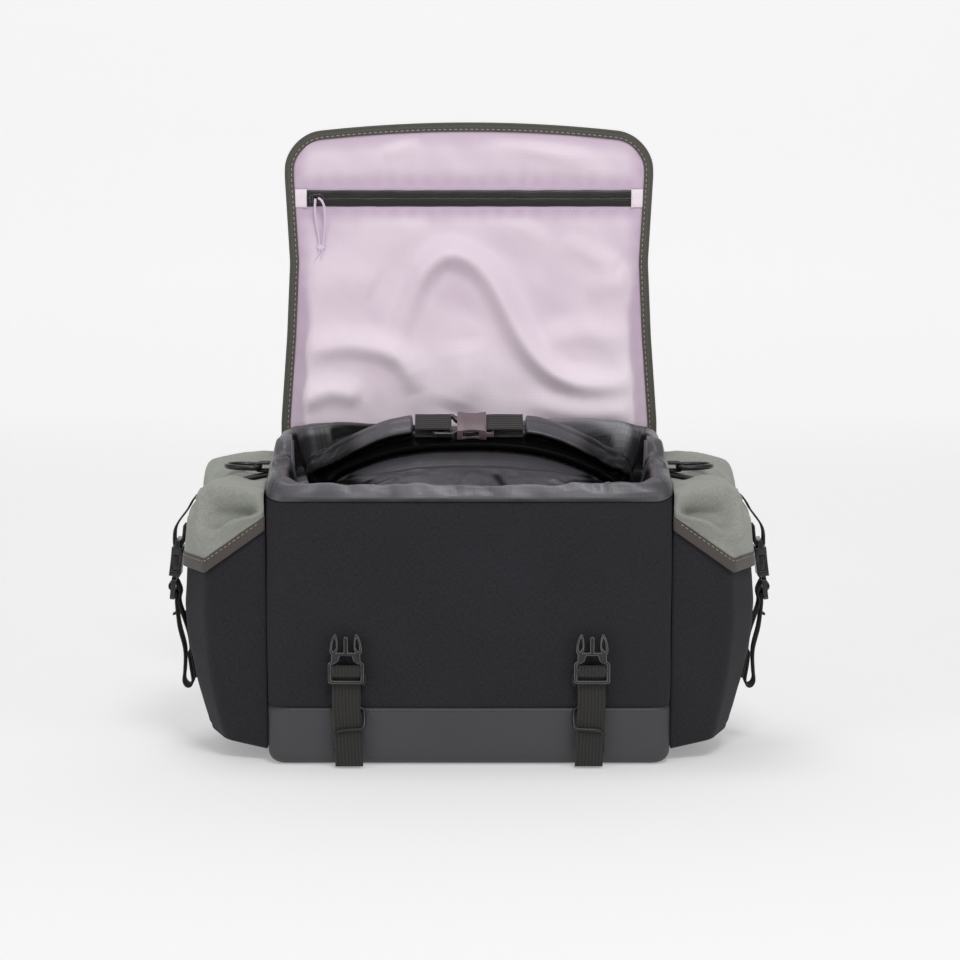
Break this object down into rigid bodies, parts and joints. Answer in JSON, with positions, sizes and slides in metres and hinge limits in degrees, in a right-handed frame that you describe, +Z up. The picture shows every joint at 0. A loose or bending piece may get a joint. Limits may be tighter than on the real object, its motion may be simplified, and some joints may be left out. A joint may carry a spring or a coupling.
{
  "type": "bicycle handlebar bag",
  "caption": "Boxy soft handlebar bag with a hinge-free cloth lid thrown open, a clipped roll-top collar and two buckled side pockets.",
  "frame": {"origin": "middle of the flat base, on the surface that the bag stands on", "axes": "+Z up, +X to the right as seen from the front, +Y towards the handlebar and the rider, where the lid is sewn on"},
  "size_m": [0.4428, 0.2064, 0.4525],
  "materials": {
    "binding": "woven tape, matt",
    "canvas": "plain weave, matt",
    "coated": "coated cloth, satin",
    "cord": "round braided cord",
    "edging": "woven tape, stitched",
    "lining": "thin ripstop nylon",
    "plastic": "moulded, fine grain",
    "ripstop": "thin nylon, slight sheen",
    "roll_plastic": "moulded, fine grain",
    "weave": "woven, matt",
    "webbing": "ribbed webbing",
    "zip": "coated tape, satin"
  },
  "bodies": {
    "root": {"base_tub": "coated", "collar": "ripstop", "d_ring_left": "plastic", "d_ring_right": "plastic", "flap_binding_left": "binding", "flap_binding_right": "binding", "flap_left": "canvas", "flap_right": "canvas", "flap_strap_left": "webbing", "flap_strap_right": "webbing", "front_strap_left": "webbing", "front_strap_left_buckle": "plastic", "front_strap_left_clip": "plastic", "front_strap_left_keeper": "plastic", "front_strap_right": "webbing", "front_strap_right_buckle": "plastic", "front_strap_right_clip": "plastic", "front_strap_right_keeper": "plastic", "lid_binding": "edging", "lid_buckle_left": "plastic", "lid_buckle_right": "plastic", "lid_cover": "coated", "lid_lining": "lining", "lid_strap_left": "webbing", "lid_strap_right": "webbing", "lid_zip": "zip", "main_shell": "weave", "mount_plate": "plastic", "pocket_left": "weave", "pocket_right": "weave", "pull_cord_a": "cord", "pull_cord_b": "cord", "pull_end_a": "cord", "pull_end_b": "cord", "pull_knot": "cord", "ring_tab_left": "webbing", "ring_tab_right": "webbing", "roll_buckle_female": "roll_plastic", "roll_buckle_male": "plastic", "roll_webbing_left": "webbing", "roll_webbing_right": "webbing", "rolled_mouth": "ripstop", "side_buckle_female_left": "plastic", "side_buckle_female_right": "plastic", "side_buckle_male_left": "plastic", "side_buckle_male_right": "plastic", "side_keeper_left": "plastic", "side_keeper_right": "plastic", "side_strap_left": "webbing", "side_strap_right": "webbing", "zip_slider": "plastic"}
  },
  "joints": []
}
